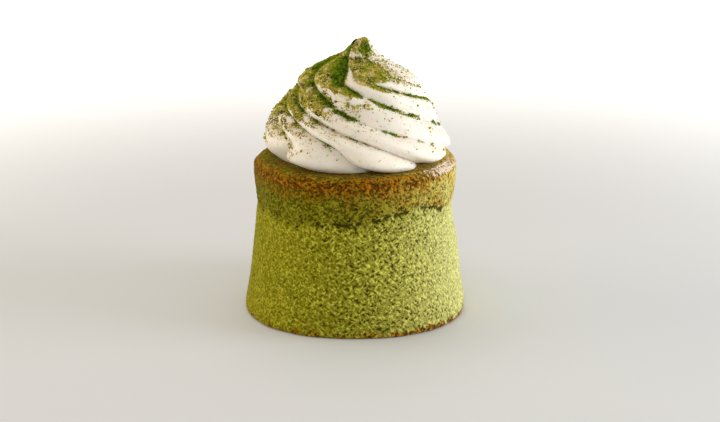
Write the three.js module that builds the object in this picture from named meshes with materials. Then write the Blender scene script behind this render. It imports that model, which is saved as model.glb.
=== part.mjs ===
// A single-serving matcha sponge cake topped with a piped swirl of whipped cream.
// Millimetres, +Z up. The origin is the centre of the cake's underside.
// The cake is a round tapered sponge, widest at the foot, whose risen top forms a
// rolled collar over the side. The cream is a star-nozzle swirl of eight unequal
// ridges that wind down from an off-centre peak and end as round lobes on the cake.
//
// A bearing is an angle round the cake: 0 is the front (-Y), 90 is the right (+X).
// A rise is a height above the sponge's flat top.

import * as THREE from "three";

const DEGREES = Math.PI / 180;
const RIGHT = 90;

// Driving dimensions of the sponge
const SPONGE = {
  baseRadius: 38,
  neckRadius: 33.5,
  collarRadius: 34.1,
  height: 52.3,
  neckHeight: 38,
  waist: 0.3,
  footRound: 1.3,
  topRound: 2.6,
  lipStep: 0.3,
  lipCrevice: 0.15,
  plateauRadius: 31,
};

// Unevenness of the baked side: sines round the cake, whose phase drifts by height / climb.
const WALL_WAVES = [
  { size: 0.16, count: 3, phase: 0.8, climb: 17 },
  { size: 0.12, count: 7, phase: -1.1, climb: -9 },
  { size: 0.08, count: 16, phase: 2.3, climb: 5 },
];

// The neck drawn in at the right, and the foot flattened at the front and filled out to both sides of it.
const PINCH = { depth: 0.9, bearing: RIGHT, width: 45, height: 33, reach: 8 };
const FOOT_FLAT = { depth: 1.6, width: 28 };
const FOOT_CORNERS = { depth: 1.4, bearing: 55, width: 22 };
const FOOT_REACH = 14;

// The collar's ragged lower edge, which is raised to the front right.
const LIP = { below: 0.4, raised: 4.2, bearing: 36, width: 20 };
const LIP_WAVES = [
  { size: 0.5, count: 5, phase: 1.2 },
  { size: 0.35, count: 11, phase: -0.4 },
  { size: 0.2, count: 23, phase: 0 },
];

// Small rises and dips of the top edge.
const RIM_SINK = 0.25;
const RIM_WAVES = [
  { size: 0.2, count: 4, phase: 0.6 },
  { size: 0.12, count: 13, phase: 1.9 },
];

// Driving dimensions of the cream
const CREAM = {
  restingGap: 0.3,
  offset: new THREE.Vector2(0.8, -0.3),
  bottomShrink: 0.55,
  tipLean: 2.0,
  tipLeanRise: 30.7,
  footLean: 1.0,
  twistPerRise: -6.05,
  twistStart: 100,
};

// The outline that the crests of the cream reach: [radius, rise].
const CREST_OUTLINE = [
  [27.5, CREAM.restingGap],
  [30.4, 2.4],
  [31.0, 5.4],
  [29.4, 10.4],
  [26.1, 16.4],
  [22.0, 22.0],
  [19.2, 26.8],
  [12.7, 30.6],
  [7.6, 33.2],
  [4.6, 35.8],
  [2.5, 38.3],
  [0, 39.5],
];

// Each ridge by the crease over it: the crease's bearing from the leading crease and its share of the
// full depth, both near the peak, half-way and at the foot, and how far the ridge's crest stays inside
// the outline. Where a crease closes, at the rise in "ends", the ridges beside it go on as one, and a
// crease with a hook turns back by so many degrees over the last stretch up to the tip.
const RIDGES = [
  { bearings: [115, 148, 122], depths: [0.7, 0.9, 1.0], inset: 0.2 },
  { bearings: [78, 112, 83], depths: [0.9, 1.0, 0.8], inset: 0, ends: 27 },
  { bearings: [44, 48, 42], depths: [1.2, 0.6, 0.6], inset: 0, hook: 30 },
  { bearings: [0, 0, 0], depths: [1.2, 0.65, 0.5], inset: 0 },
  { bearings: [-62, -34, -46], depths: [0.7, 0.9, 1.4], inset: 0 },
  { bearings: [-92, -62, -91], depths: [0.7, 1.0, 1.2], inset: 0 },
  { bearings: [-133, -94, -150], depths: [0.9, 0.8, 1.0], inset: 0 },
  { bearings: [-190, -145, -202], depths: [1.0, 1.0, 1.1], inset: 0.3 },
];
const JOINED_CREST = 0.25;
const CLOSING_RISE = 1.5;
const HOOK_RISES = [26, 32];

// The rises over which values change from those at the foot to half-way and on to those near the peak,
// and over which a ridge changes from a round lobe to a narrow ledge over a long face.
const FOOT_RISES = [0.5, 10];
const PEAK_RISES = [14, 28];
const LOBE_RISES = [2, 18];

// The creases are shallower at the right, above the foot.
const CALM_SIDE = { share: 0.7, bearing: RIGHT, width: 50, rises: [4, 10] };

// The shelf that the upper turn leaves at the left.
const SHELF = { rise: 20.5, bearing: -110, width: 60, reach: 3, slope: 0.03, overhang: 0.3 };

// Mesh fineness
const SPONGE_COLUMNS = 96;
const COLUMNS_PER_RIDGE = 11;
const CREAM_ROWS = 41;

const mix = (a, b, share) => a + (b - a) * share;

// An S-shaped ramp from 0 at x = low to 1 at x = high.
function ramp(low, high, x) {
  return THREE.MathUtils.smoothstep(x, low, high);
}

// A bell curve of height 1 round a centre.
function bump(centre, width, x) {
  return Math.exp(-(((x - centre) / width) ** 2));
}

// The signed angle in degrees from a centre bearing to a bearing, between -180 and 180.
function turned(bearing, centre) {
  return THREE.MathUtils.euclideanModulo(bearing - centre + 180, 360) - 180;
}

// A point from its distance to an axis, its bearing in degrees and its height.
function onBearing(radius, bearing, height) {
  const angle = bearing * DEGREES;
  return new THREE.Vector3(radius * Math.sin(angle), -radius * Math.cos(angle), height);
}

// The sum of sines round the cake at a bearing.
function waves(list, bearing, height = 0) {
  return list.reduce((sum, { size, count, phase, climb = Infinity }) => {
    return sum + size * Math.sin(count * bearing * DEGREES + phase + height / climb);
  }, 0);
}

// A closed surface from rings of points that run from a bottom pole to a top pole.
// Each ring has the same number of points, counter-clockwise seen from above.
function closedSkin(bottomPole, rings, topPole) {
  const columns = rings[0].length;
  const points = [bottomPole, ...rings.flat(), topPole];
  const at = (ring, column) => 1 + ring * columns + (column % columns);
  const last = points.length - 1;
  const triangles = [];
  for (let column = 0; column < columns; column++) {
    triangles.push(0, at(0, column + 1), at(0, column));
    for (let ring = 0; ring + 1 < rings.length; ring++) {
      const [a, b] = [at(ring, column), at(ring, column + 1)];
      const [c, d] = [at(ring + 1, column + 1), at(ring + 1, column)];
      triangles.push(a, b, c, a, c, d);
    }
    triangles.push(at(rings.length - 1, column), at(rings.length - 1, column + 1), last);
  }
  const geometry = new THREE.BufferGeometry().setFromPoints(points);
  geometry.setIndex(triangles);
  geometry.computeVertexNormals();
  return geometry;
}

// How far the baked wall stands out of its plain line.
function wallUnevenness(bearing, height) {
  const { depth, width, reach } = PINCH;
  const pinch = depth * bump(0, width, turned(bearing, PINCH.bearing)) * bump(PINCH.height, reach, height);
  const front = turned(bearing, 0);
  const foot =
    FOOT_CORNERS.depth * bump(FOOT_CORNERS.bearing, FOOT_CORNERS.width, Math.abs(front)) -
    FOOT_FLAT.depth * bump(0, FOOT_FLAT.width, front);
  return waves(WALL_WAVES, bearing, height) - pinch + foot * (1 - ramp(0, FOOT_REACH, height));
}

// The height of the collar's ragged lower edge.
function lipHeight(bearing) {
  const raised = LIP.raised * bump(0, LIP.width, turned(bearing, LIP.bearing));
  return SPONGE.neckHeight - LIP.below + raised + waves(LIP_WAVES, bearing);
}

// The radius of the tapered wall under the collar.
function wallRadius(height) {
  const share = height / SPONGE.neckHeight;
  return mix(SPONGE.baseRadius, SPONGE.neckRadius, share) - SPONGE.waist * Math.sin(Math.PI * share);
}

// The radius of the collar, which swells between its lip and the top edge.
function collarRadius(height) {
  const share = (height - SPONGE.neckHeight) / (SPONGE.height - SPONGE.neckHeight + 4);
  return mix(SPONGE.neckRadius, SPONGE.collarRadius, Math.sin(Math.PI * THREE.MathUtils.clamp(share, 0, 1)));
}

// The side at a bearing, as [radius, height] from the foot to the top edge:
// wall rows up to the lip, a short overhang, then collar rows.
function sideRows(bearing) {
  const lip = lipHeight(bearing);
  const collarTop = SPONGE.height - SPONGE.topRound;
  const rows = [];
  for (const share of [0, 0.12, 0.26, 0.4, 0.55, 0.7, 0.84, 0.94, 1]) {
    const height = mix(SPONGE.footRound, lip - 0.5, share);
    rows.push([wallRadius(height) - SPONGE.lipCrevice * ramp(0.86, 1, share), height]);
  }
  for (const share of [0, 0.08, 0.25, 0.5, 0.75, 1]) {
    const height = mix(lip, collarTop, share);
    const overhang = SPONGE.lipStep * (1 - share) * ramp(0, 0.08, share + 0.03);
    rows.push([collarRadius(height) + overhang, height]);
  }
  return rows.map(([radius, height]) => [radius + wallUnevenness(bearing, height), height]);
}

// The sponge's outline at a bearing: flat underside, rounded foot, side, rounded top edge and flat top.
function spongeOutline(bearing) {
  const side = sideRows(bearing);
  const [footRadius] = side[0];
  const [topRadius] = side[side.length - 1];
  const outline = [[footRadius * 0.5, 0]];
  for (const angle of [0, 35, 65]) {
    const rounding = angle * DEGREES;
    outline.push([
      footRadius - SPONGE.footRound * (1 - Math.sin(rounding)),
      SPONGE.footRound * (1 - Math.cos(rounding)),
    ]);
  }
  outline.push(...side);
  const sink = RIM_SINK - waves(RIM_WAVES, bearing);
  for (const angle of [25, 50, 75]) {
    const rounding = angle * DEGREES;
    outline.push([
      topRadius - SPONGE.topRound * (1 - Math.cos(rounding)),
      SPONGE.height - SPONGE.topRound * (1 - Math.sin(rounding)) - sink,
    ]);
  }
  outline.push([SPONGE.plateauRadius, SPONGE.height], [SPONGE.plateauRadius * 0.5, SPONGE.height]);
  return outline;
}

// The sponge, built from its outlines all round.
function spongeGeometry() {
  const columns = [];
  for (let column = 0; column < SPONGE_COLUMNS; column++) {
    const bearing = (column * 360) / SPONGE_COLUMNS;
    columns.push(spongeOutline(bearing).map(([radius, height]) => onBearing(radius, bearing, height)));
  }
  const rings = columns[0].map((_, row) => columns.map((column) => column[row]));
  return closedSkin(new THREE.Vector3(0, 0, 0), rings, new THREE.Vector3(0, 0, SPONGE.height));
}

// A value given near the peak, half-way and at the foot, blended for a rise.
function atLevel([nearPeak, halfWay, atFoot], rise) {
  const foot = 1 - ramp(...FOOT_RISES, rise);
  const peak = ramp(...PEAK_RISES, rise);
  return nearPeak * peak + halfWay * (1 - foot - peak) + atFoot * foot;
}

// The cross profile of a ridge, from 0 in the crease over it, through 1 on its crest, to 0 in the crease
// under it. High on the swirl a narrow ledge tops a long plain face, and at the foot it is a round lobe.
function ridgeProfile(share, footness) {
  const crest = mix(0.27, 0.62, footness);
  return share < crest
    ? 1 - (1 - share / crest) ** mix(1.6, 2.3, footness)
    : 1 - ((share - crest) / (1 - crest)) ** mix(1.4, 2.3, footness);
}

// A crease's bearing from the leading crease.
function creaseBearing({ bearings, hook = 0 }, rise) {
  return atLevel(bearings, rise) + hook * ramp(...HOOK_RISES, rise);
}

// A crease's share of the full depth. A closed crease leaves a low crest.
function creaseShare({ depths, ends = Infinity }, rise) {
  const closed = ends === Infinity ? 0 : ramp(ends - CLOSING_RISE, ends + CLOSING_RISE, rise);
  return mix(atLevel(depths, rise), -JOINED_CREST, closed);
}

// The full depth of the creases for a given radius of the swirl.
function fullDepth(radius) {
  return Math.min(0.5 + 0.115 * radius, 0.4 * radius);
}

// How far the shelf stands out under its line and in above it.
function shelf(rise, bearing) {
  const away = turned(bearing, SHELF.bearing);
  const t = (rise - SHELF.rise + SHELF.slope * away) / SHELF.reach;
  const weight = t < 0 ? SHELF.overhang : 1;
  return -weight * t * Math.exp(0.5 - (t * t) / 2) * bump(0, SHELF.width, away);
}

// The place of the swirl's axis, which leans to the right at the foot and towards the tip.
function creamAxis(rise) {
  const tipLean = CREAM.tipLean * Math.max(0, (rise - CREAM.tipLeanRise) / 8) ** 1.5;
  const footLean = CREAM.footLean * (1 - ramp(0, 7, rise) - bump(13, 7, rise));
  return new THREE.Vector3(CREAM.offset.x + tipLean + footLean, CREAM.offset.y, SPONGE.height + rise);
}

// One ring of the swirl: radius is where its crests are.
function creamRing(radius, rise) {
  const ring = [];
  const footness = 1 - ramp(...LOBE_RISES, rise);
  const calm = CALM_SIDE.share * ramp(...CALM_SIDE.rises, rise);
  const turn = CREAM.twistStart + CREAM.twistPerRise * rise;
  RIDGES.forEach((ridge, index) => {
    const below = RIDGES[(index + 1) % RIDGES.length];
    const wrap = index + 1 === RIDGES.length ? 360 : 0;
    const upper = creaseBearing(ridge, rise);
    const lower = creaseBearing(below, rise) - wrap;
    for (let column = 0; column < COLUMNS_PER_RIDGE; column++) {
      const share = (column / COLUMNS_PER_RIDGE) ** mix(1.3, 1, footness);
      const bearing = turn + mix(upper, lower, share);
      const profile = ridgeProfile(share, footness);
      const shallow = 1 - calm * bump(0, CALM_SIDE.width, turned(bearing, CALM_SIDE.bearing));
      const part = mix(creaseShare(ridge, rise), creaseShare(below, rise), share) * shallow;
      const depth = fullDepth(radius) * part;
      const inset = depth * (1 - profile) + ridge.inset * profile * ramp(0, 10, radius);
      ring.push(onBearing(radius - inset + shelf(rise, bearing), bearing, 0).add(creamAxis(rise)));
    }
  });
  return ring.reverse();
}

// The cream: a flat bottom just above the sponge, then rings up the crest outline to the tip.
function creamGeometry() {
  const corners = CREST_OUTLINE.map(([radius, rise]) => new THREE.Vector2(radius, rise));
  const points = new THREE.SplineCurve(corners).getSpacedPoints(CREAM_ROWS);
  const tip = points.pop();
  const rings = points.map((point) => creamRing(point.x, point.y));
  const centre = creamAxis(CREAM.restingGap);
  rings.unshift(rings[0].map((place) => place.clone().lerp(centre, CREAM.bottomShrink)));
  return closedSkin(centre, rings, creamAxis(tip.y));
}

const spongeMaterial = new THREE.MeshStandardMaterial({ color: 0x8f9433, roughness: 0.95, metalness: 0 });
const creamMaterial = new THREE.MeshStandardMaterial({ color: 0xf4efe6, roughness: 0.45, metalness: 0 });

function namedMesh(name, geometry, material) {
  const mesh = new THREE.Mesh(geometry, material);
  mesh.name = name;
  return mesh;
}

const dessert = new THREE.Group();
dessert.add(namedMesh("sponge_cake", spongeGeometry(), spongeMaterial));
dessert.add(namedMesh("whipped_cream", creamGeometry(), creamMaterial));

export default dessert;
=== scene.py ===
"""Looks of a single-serving matcha sponge cake under a piped, tea-dusted swirl of whipped cream.

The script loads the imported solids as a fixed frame, puts a fine surface over each of them and lights
the cake in a plain studio. Shapes are worked out in millimetres and put into meshes in metres.
A bearing is an angle round the cake in degrees: 0 is the front (-Y), 90 is the right (+X).
"""

import logging
import math
from dataclasses import dataclass
from enum import Enum

import bpy
import numpy as np
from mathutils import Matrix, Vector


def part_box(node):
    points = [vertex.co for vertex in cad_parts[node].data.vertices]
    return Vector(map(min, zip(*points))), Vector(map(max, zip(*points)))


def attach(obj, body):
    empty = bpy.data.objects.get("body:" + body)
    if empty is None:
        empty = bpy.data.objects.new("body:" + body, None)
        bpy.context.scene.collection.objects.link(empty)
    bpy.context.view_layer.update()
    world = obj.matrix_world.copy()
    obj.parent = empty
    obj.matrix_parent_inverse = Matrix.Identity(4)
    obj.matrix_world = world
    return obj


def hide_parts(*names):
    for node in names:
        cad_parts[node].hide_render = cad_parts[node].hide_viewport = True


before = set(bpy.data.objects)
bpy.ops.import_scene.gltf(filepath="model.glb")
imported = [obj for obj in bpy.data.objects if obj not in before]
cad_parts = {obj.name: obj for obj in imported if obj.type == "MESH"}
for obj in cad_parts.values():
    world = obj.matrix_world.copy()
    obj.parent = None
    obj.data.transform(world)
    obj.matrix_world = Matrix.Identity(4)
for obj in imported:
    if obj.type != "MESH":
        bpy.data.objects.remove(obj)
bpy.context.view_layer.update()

LOG = logging.getLogger("matcha_cake")
Array = np.ndarray
Socket = bpy.types.NodeSocket
Pair = tuple[float, float]
Triple = tuple[float, float, float]
Colour = Triple
MM = 0.001


class Slot(str, Enum):
    """The record's material slots."""

    SPONGE = "sponge"
    CREAM = "cream"
    TEA = "tea_powder"


def mix(a: Array | float, b: Array | float, share: Array | float) -> Array | float:
    """The value a share of the way from a to b."""
    return a + (b - a) * share


def ramp(low: float, high: Array | float, x: Array) -> Array:
    """An S-shaped ramp: 0 below low, 1 above high and 3t^2 - 2t^3 between them."""
    t = np.clip((x - low) / (high - low), 0.0, 1.0)
    return t * t * (3.0 - 2.0 * t)


def bump(centre: float, width: float, x: Array) -> Array:
    """A bell curve of height 1 round centre: exp(-((x - centre) / width)^2)."""
    return np.exp(-(((x - centre) / width) ** 2))


def turned(bearing: Array, centre: float) -> Array:
    """The signed angle in degrees from a centre bearing to a bearing, between -180 and 180."""
    return (bearing - centre + 180.0) % 360.0 - 180.0


def on_bearing(radius: Array, bearing: Array, height: Array) -> Array:
    """Points from their distance to the axis, bearing in degrees and height.

    Args:
        radius: Distance to the upright axis.
        bearing: Angle in degrees, 0 at the front and 90 at the right.
        height: Height over the table.

    Returns:
        Points (radius sin bearing, -radius cos bearing, height) in a last axis of 3.
    """
    angle = np.radians(bearing)
    x, y, z = np.broadcast_arrays(radius * np.sin(angle), -radius * np.cos(angle), height)
    return np.stack([x, y, z], axis=-1)


def top_of(node: str) -> float:
    """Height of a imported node's highest point in millimetres, to a thousandth."""
    return round(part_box(node)[1].z / MM, 3)


def lattice_random(cells: Array, seed: int) -> Array:
    """Repeatable random numbers from 0 to 1 for whole-number cells, by mixing the bits of their indices.

    Args:
        cells: Whole numbers with a last axis of 3.
        seed: Another seed gives other numbers.

    Returns:
        One number for each cell.
    """
    keys = cells.astype(np.int64) & 0xFFFFFFFF
    mixed = keys[..., 0] * 73856093 ^ keys[..., 1] * 19349663 ^ keys[..., 2] * 83492791 ^ (seed * 40503 + 977)
    for _ in range(2):
        mixed = ((mixed >> 15) ^ mixed) & 0xFFFFFFFF
        mixed = (mixed * 0x2C1B3C6D) & 0xFFFFFFFF
    return ((mixed >> 13) ^ mixed) / 2.0**32 % 1.0


def smooth_noise(points: Array, seed: int) -> Array:
    """Smooth noise from -1 to 1 with features one unit wide.

    Random values on the corners of a unit lattice are blended over each cell with the fade 3t^2 - 2t^3.

    Args:
        points: Places with a last axis of 3.
        seed: Another seed gives other noise.

    Returns:
        One number for each place.
    """
    cell = np.floor(points)
    fade = points - cell
    fade = fade * fade * (3.0 - 2.0 * fade)
    total = np.zeros(points.shape[:-1])
    for corner in np.ndindex(2, 2, 2):
        weight = np.prod(np.where(np.array(corner) == 1, fade, 1.0 - fade), axis=-1)
        total += weight * lattice_random(cell + np.array(corner), seed)
    return 2.0 * total - 1.0


def rough_noise(points: Array, seed: int, octaves: int = 3) -> Array:
    """A sum of octaves of smooth noise, each half as wide and 0.55 times as high as the one before."""
    total, height = np.zeros(points.shape[:-1]), 1.0
    for octave in range(octaves):
        total += height * smooth_noise(points * 2.0**octave + 17.3 * octave, seed + octave)
        height *= 0.55
    return total


def cell_noise(points: Array, seed: int) -> tuple[Array, Array, Array]:
    """Distances to scattered feature points, one in each unit cell.

    Args:
        points: Places with a last axis of 3.
        seed: Another seed moves the feature points.

    Returns:
        The distance to the nearest feature point, to the second nearest, and the nearest one's random number.
    """
    home = np.floor(points)
    nearest = np.full(points.shape[:-1], 9.0)
    second = nearest.copy()
    label = np.zeros(points.shape[:-1])
    for step in np.ndindex(3, 3, 3):
        cell = home + np.array(step) - 1.0
        feature = cell + np.stack([lattice_random(cell, seed + axis) for axis in range(3)], axis=-1)
        distance = np.linalg.norm(points - feature, axis=-1)
        closer = distance < nearest
        second = np.where(closer, nearest, np.minimum(second, distance))
        label = np.where(closer, lattice_random(cell, seed + 3), label)
        nearest = np.where(closer, distance, nearest)
    return nearest, second, label


def spline(points: list[Pair], count: int) -> Array:
    """Evenly spaced points along a smooth curve through the given points.

    Each stretch is a uniform Catmull-Rom cubic, whose end tangents are half the chord between
    the neighbours, and the curve is then cut into stretches of equal length.

    Args:
        points: Pairs of numbers to pass through.
        count: How many points to return.

    Returns:
        The points, count x 2.
    """
    knots = np.array(points, dtype=float)
    last = len(knots) - 1
    at = np.linspace(0.0, last, 2400)
    index = np.minimum(at.astype(int), last - 1)
    t = (at - index)[:, None]
    before, start = knots[np.maximum(index - 1, 0)], knots[index]
    end, after = knots[index + 1], knots[np.minimum(index + 2, last)]
    leave, arrive = (end - before) / 2.0, (after - start) / 2.0
    curve = (2 * start - 2 * end + leave + arrive) * t**3
    curve += (3 * end - 3 * start - 2 * leave - arrive) * t**2 + leave * t + start
    length = np.concatenate([[0.0], np.cumsum(np.linalg.norm(np.diff(curve, axis=0), axis=1))])
    even = np.linspace(0.0, length[-1], count)
    return np.stack([np.interp(even, length, curve[:, axis]) for axis in range(2)], axis=-1)


def mesh_object(name: str, points: Array, triangles: Array, quads: Array) -> bpy.types.Object:
    """A smooth-shaded mesh object at the origin.

    Args:
        name: The piece's name.
        points: Vertices in millimetres.
        triangles: Rows of 3 vertex indices.
        quads: Rows of 4 vertex indices.

    Returns:
        The object, linked to the scene.
    """
    mesh = bpy.data.meshes.new(name)
    mesh.vertices.add(len(points))
    mesh.vertices.foreach_set("co", (points * MM).astype(np.float32).ravel())
    corners = np.concatenate([triangles.ravel(), quads.ravel()]).astype(np.int32)
    sizes = np.concatenate([np.full(len(triangles), 3), np.full(len(quads), 4)]).astype(np.int32)
    mesh.loops.add(len(corners))
    mesh.loops.foreach_set("vertex_index", corners)
    mesh.polygons.add(len(sizes))
    mesh.polygons.foreach_set("loop_start", (np.cumsum(sizes) - sizes).astype(np.int32))
    mesh.polygons.foreach_set("use_smooth", np.ones(len(sizes), dtype=bool))
    mesh.update(calc_edges=True)
    mesh.validate()
    thing = bpy.data.objects.new(name, mesh)
    bpy.context.scene.collection.objects.link(thing)
    return thing


def add_attribute(thing: bpy.types.Object, name: str, values: Array) -> None:
    """Stores one number a vertex, which a material reads by its name."""
    attribute = thing.data.attributes.new(name, "FLOAT", "POINT")
    attribute.data.foreach_set("value", values.astype(np.float32).ravel())


@dataclass
class Skin:
    """A closed surface of stacked rings between a bottom pole and a top pole.

    Attributes:
        rings: Rows x columns x 3 points in millimetres, bottom row first, counter-clockwise from above.
        bottom: The lower pole.
        top: The upper pole.
    """

    rings: Array
    bottom: Array
    top: Array

    def normals(self) -> Array:
        """Outward unit normals of the ring points, the cross products of the two grid directions."""
        along = np.roll(self.rings, -1, axis=1) - np.roll(self.rings, 1, axis=1)
        padded = np.concatenate([self.rings[:1], self.rings, self.rings[-1:]], axis=0)
        upward = padded[2:] - padded[:-2]
        normal = np.cross(along, upward)
        return normal / np.maximum(np.linalg.norm(normal, axis=-1, keepdims=True), 1e-9)

    def build(self, name: str, attributes: dict[str, Array]) -> bpy.types.Object:
        """Makes the mesh: quads between rings and a fan of triangles at each pole.

        Args:
            name: The piece's name.
            attributes: Rows x columns numbers by name. A pole takes the mean of its ring.

        Returns:
            The new object.
        """
        rows, columns = self.rings.shape[:2]
        points = np.concatenate([self.rings.reshape(-1, 3), self.bottom[None], self.top[None]])
        index = np.arange(rows * columns).reshape(rows, columns)
        beside = np.roll(index, -1, axis=1)
        quads = np.stack([index[:-1], beside[:-1], beside[1:], index[1:]], axis=-1).reshape(-1, 4)
        low = np.stack([np.full(columns, rows * columns), beside[0], index[0]], axis=-1)
        high = np.stack([np.full(columns, rows * columns + 1), index[-1], beside[-1]], axis=-1)
        thing = mesh_object(name, points, np.concatenate([low, high]), quads)
        for key, values in attributes.items():
            poles = [values[0].mean(), values[-1].mean()]
            add_attribute(thing, key, np.concatenate([values.ravel(), poles]))
        return thing


class Shading:
    """A short way to write a material's node tree."""

    def __init__(self, name: str) -> None:
        """Starts an empty material with its shader and output."""
        self.material = bpy.data.materials.new(name)
        self.material.use_nodes = True
        self.tree = self.material.node_tree
        self.tree.nodes.clear()
        self.shader = self.tree.nodes.new("ShaderNodeBsdfPrincipled")
        output = self.tree.nodes.new("ShaderNodeOutputMaterial")
        self.tree.links.new(self.shader.outputs["BSDF"], output.inputs["Surface"])
        self.place = self.tree.nodes.new("ShaderNodeTexCoord").outputs["Object"]

    def feed(self, socket: Socket, value: object) -> None:
        """Links a socket to an output, or sets a number or a colour on it."""
        if isinstance(value, Socket):
            self.tree.links.new(value, socket)
        elif isinstance(value, tuple):
            socket.default_value = (*value, 1.0)[: len(socket.default_value)]
        else:
            socket.default_value = value

    def set(self, **values: object) -> None:
        """Feeds the main shader's sockets, with their names in lower case and underscores for spaces."""
        for key, value in values.items():
            self.feed(self.shader.inputs[key.replace("_", " ").title().replace("Ior", "IOR")], value)

    def attribute(self, name: str) -> Socket:
        """The number that a mesh attribute holds."""
        node = self.tree.nodes.new("ShaderNodeAttribute")
        node.attribute_name = name
        return node.outputs["Fac"]

    def noise(self, width: float, detail: float = 2.0, length: float = 1.0, tilt: float = 0.0) -> Socket:
        """Noise from 0 to 1.

        Args:
            width: The features' width in millimetres.
            detail: How many finer octaves are added.
            length: How many times as long as wide they are upwards.
            tilt: The angle in degrees by which their long way leans over to the side.

        Returns:
            The noise.
        """
        mapping = self.tree.nodes.new("ShaderNodeMapping")
        mapping.vector_type = "TEXTURE"
        self.feed(mapping.inputs["Vector"], self.place)
        mapping.inputs["Rotation"].default_value = (0.0, math.radians(tilt), 0.0)
        mapping.inputs["Scale"].default_value = (1.0, 1.0, length)
        node = self.tree.nodes.new("ShaderNodeTexNoise")
        self.feed(node.inputs["Vector"], mapping.outputs["Vector"])
        node.inputs["Scale"].default_value = 1.0 / (width * MM)
        node.inputs["Detail"].default_value = detail
        return node.outputs["Fac"]

    def math(self, operation: str, a: object, b: object = 0.0, c: object = 0.0) -> Socket:
        """The result of a Math node."""
        node = self.tree.nodes.new("ShaderNodeMath")
        node.operation = operation
        for socket, value in zip(node.inputs, (a, b, c)):
            self.feed(socket, value)
        return node.outputs["Value"]

    def uneven(self, value: object, noise: object, amount: float) -> Socket:
        """A value made uneven by a noise from 0 to 1: value + amount * (noise - 1/2)."""
        return self.math("MULTIPLY_ADD", self.math("SUBTRACT", noise, 0.5), amount, value)

    def spread(self, value: object, low: float, high: float) -> Socket:
        """An S-shaped ramp of a value, from 0 at low to 1 at high."""
        node = self.tree.nodes.new("ShaderNodeMapRange")
        node.interpolation_type = "SMOOTHSTEP"
        self.feed(node.inputs["Value"], value)
        node.inputs["From Min"].default_value = low
        node.inputs["From Max"].default_value = high
        return node.outputs["Result"]

    def blend(self, share: object, a: object, b: object) -> Socket:
        """A colour a share of the way from a to b."""
        node = self.tree.nodes.new("ShaderNodeMix")
        node.data_type = "RGBA"
        self.feed(node.inputs["Factor"], share)
        self.feed(node.inputs[6], a)
        self.feed(node.inputs[7], b)
        return node.outputs[2]

    def relief(self, height: object, depth: float) -> None:
        """Bumps the surface by a height from 0 to 1 that stands for the given depth in millimetres."""
        node = self.tree.nodes.new("ShaderNodeBump")
        node.inputs["Strength"].default_value = 1.0
        node.inputs["Distance"].default_value = depth * MM
        self.feed(node.inputs["Height"], height)
        if self.shader.inputs["Normal"].is_linked:
            self.feed(node.inputs["Normal"], self.shader.inputs["Normal"].links[0].from_socket)
        self.feed(self.shader.inputs["Normal"], node.outputs["Normal"])


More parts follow.
